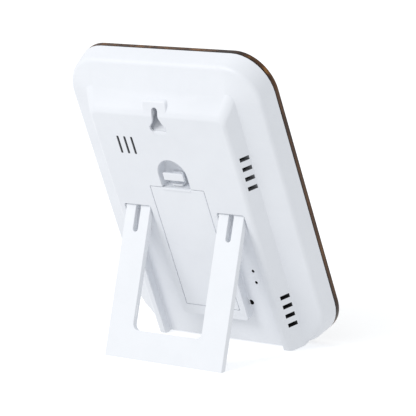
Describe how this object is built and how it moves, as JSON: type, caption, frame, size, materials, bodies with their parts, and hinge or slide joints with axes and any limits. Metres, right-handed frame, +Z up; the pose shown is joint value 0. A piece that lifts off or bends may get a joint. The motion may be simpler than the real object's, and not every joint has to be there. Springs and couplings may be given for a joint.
{
  "type": "desk display on a fold-out stand",
  "caption": "Battery-run desk display with a wood-look front, white moulded back, battery door, keyhole and fold-out stand.",
  "frame": {"origin": "centre of the footprint's bounding box, on the surface the object stands on", "axes": "+Z up, the display faces -Y, the stand is towards +Y, +X across"},
  "size_m": [0.112, 0.0666, 0.1427],
  "materials": {
    "wood_look": "glossy printed wood look",
    "window": "clear glossy acrylic",
    "lcd": "glossy, display off",
    "reflector": "satin",
    "steel": "plated",
    "elastomer": "matte",
    "white_plastic": "satin moulded white",
    "cell_wrap": "glossy sleeve",
    "board": "solder mask",
    "black_resin": "matte",
    "capacitor": "sleeve",
    "plunger": "matte",
    "sensor": "matte",
    "red_wire": "satin",
    "black_wire": "satin",
    "grey_wire": "satin"
  },
  "bodies": {
    "housing": {"front_frame": "wood_look", "display_window": "window", "lcd_panel": "lcd", "reflector": "reflector", "lcd_bezel": "steel", "elastomer_strip": "elastomer", "rear_cover": "white_plastic", "battery_1": "cell_wrap", "battery_2": "cell_wrap", "positive_contact": "steel", "negative_contact": "steel", "bridge_contact": "steel", "spring_1": "steel", "spring_2": "steel", "main_board": "board", "driver_chip": "black_resin", "crystal": "steel", "capacitor": "capacitor", "buzzer": "black_resin", "board_screw_1": "steel", "board_screw_2": "steel", "board_screw_3": "steel", "board_screw_4": "steel", "key_board": "board", "key_screw_1": "steel", "key_screw_2": "steel", "switch_1": "black_resin", "switch_2": "black_resin", "switch_3": "black_resin", "sensor_board": "board", "humidity_sensor": "sensor", "red_lead": "red_wire", "black_lead": "black_wire", "buzzer_lead_1": "black_wire", "buzzer_lead_2": "black_wire", "sensor_lead": "grey_wire", "key_lead": "grey_wire"},
    "stand": {"stand": "white_plastic"},
    "battery_door": {"battery_door": "white_plastic"},
    "latch_tab": {"latch_tab": "white_plastic"},
    "plunger_1": {"plunger_1": "plunger"},
    "plunger_2": {"plunger_2": "plunger"},
    "plunger_3": {"plunger_3": "plunger"}
  },
  "joints": [
    {"name": "stand_hinge", "type": "hinge", "parent": "housing", "child": "stand", "pos_m": [0, 0.0103, 0.06632], "axis": [-1, 0, 0], "range_deg": [0, 38]},
    {"name": "door_hinge", "type": "hinge", "parent": "housing", "child": "battery_door", "pos_m": [0, -0.0055, 0.01795], "axis": [-1, 0, 0], "range_deg": [0, 60]},
    {"name": "latch_flex", "type": "hinge", "parent": "battery_door", "child": "latch_tab", "pos_m": [0, 0.01222, 0.08009], "axis": [-1, 0, 0], "range_deg": [0, 5], "stiffness_Nm_per_rad": 0.05},
    {"name": "plunger_1_press", "type": "slide", "parent": "housing", "child": "plunger_1", "axis": [0, -0.9397, 0.342], "range_m": [0, 0.0003], "stiffness_N_per_m": 400},
    {"name": "plunger_2_press", "type": "slide", "parent": "housing", "child": "plunger_2", "axis": [0, -0.9397, 0.342], "range_m": [0, 0.0003], "stiffness_N_per_m": 400},
    {"name": "plunger_3_press", "type": "slide", "parent": "housing", "child": "plunger_3", "axis": [0, -0.9397, 0.342], "range_m": [0, 0.0003], "stiffness_N_per_m": 400}
  ]
}
